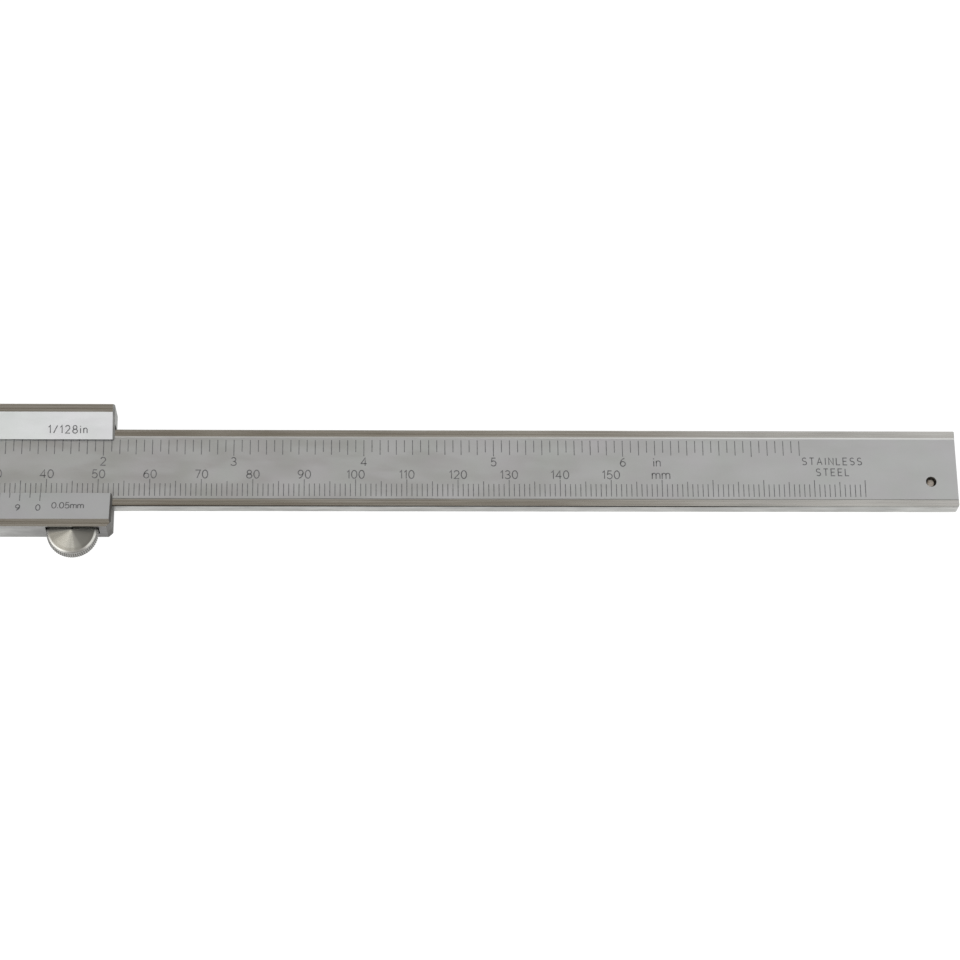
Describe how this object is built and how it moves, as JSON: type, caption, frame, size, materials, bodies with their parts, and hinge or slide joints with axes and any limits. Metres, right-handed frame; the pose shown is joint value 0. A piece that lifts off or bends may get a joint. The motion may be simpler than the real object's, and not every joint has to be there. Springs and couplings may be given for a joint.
{
  "type": "vernier caliper",
  "caption": "Hand caliper for outside, inside and depth measuring: graduated steel beam, sliding jaw with metric and inch verniers, thumb roller and clamping screw.",
  "frame": {"origin": "on the flat back of the slider that the closed caliper lies on, on the beam's centreline, under the zero mark of the beam's scales", "axes": "+X along the beam towards its free end and the depth rod's tip, +Y towards the inner jaws, +Z out of the graduated face"},
  "size_m": [0.2363, 0.0729, 0.0063],
  "materials": {
    "beam_steel": "hardened stainless steel, satin scale face between ground and polished rails",
    "slider_steel": "hardened stainless steel, satin vernier faces, ground lands and ends",
    "roller_steel": "turned and knurled stainless steel",
    "rod_steel": "drawn and ground steel strip",
    "plate_steel": "rolled and brushed sheet steel",
    "spring_steel": "tempered spring steel, slightly straw coloured",
    "screw_steel": "turned steel, slightly tarnished",
    "gib_bronze": "phosphor bronze strip",
    "pad_brass": "turned brass"
  },
  "bodies": {
    "beam": {"main_beam": "beam_steel", "stop_plate": "plate_steel", "stop_plate_screw": "screw_steel", "stop_plate_pin": "screw_steel"},
    "slider": {"slider_body": "slider_steel", "back_plate": "plate_steel", "back_plate_screw_1": "screw_steel", "back_plate_screw_2": "screw_steel", "back_plate_screw_3": "screw_steel", "back_plate_screw_4": "screw_steel", "depth_rod": "rod_steel", "depth_rod_rivet_1": "screw_steel", "depth_rod_rivet_2": "screw_steel", "gib_strip": "gib_bronze", "gib_screw_left": "screw_steel", "gib_screw_right": "screw_steel", "roller_spring": "spring_steel", "roller_pin": "screw_steel", "roller_spring_screw_1": "screw_steel", "roller_spring_screw_2": "screw_steel"},
    "roller": {"thumb_roller": "roller_steel"},
    "lock_pad": {"lock_pad": "pad_brass"},
    "lock_screw": {"lock_screw": "roller_steel"}
  },
  "joints": [
    {"name": "slider_slide", "type": "slide", "parent": "beam", "child": "slider", "axis": [1, 0, 0], "range_m": [0, 0.154]},
    {"name": "roller_spin", "type": "hinge", "parent": "slider", "child": "roller", "pos_m": [0.04535, -0.01302, 0.0035], "axis": [0, 0, 1], "range_deg": [0, 1765.2]},
    {"name": "lock_travel", "type": "slide", "parent": "slider", "child": "lock_pad", "axis": [0, -1, 0], "range_m": [-0.0009, 0.0001]},
    {"name": "lock_turn", "type": "hinge", "parent": "lock_pad", "child": "lock_screw", "pos_m": [0.018, 0.0126, 0.003], "axis": [0, -1, 0], "range_deg": [-720.5, 79]}
  ],
  "couplings": [
    {"joint": "roller_spin", "follows": "slider_slide", "rad_per_m": 200},
    {"joint": "lock_turn", "follows": "lock_travel", "rad_per_m": 13963}
  ]
}
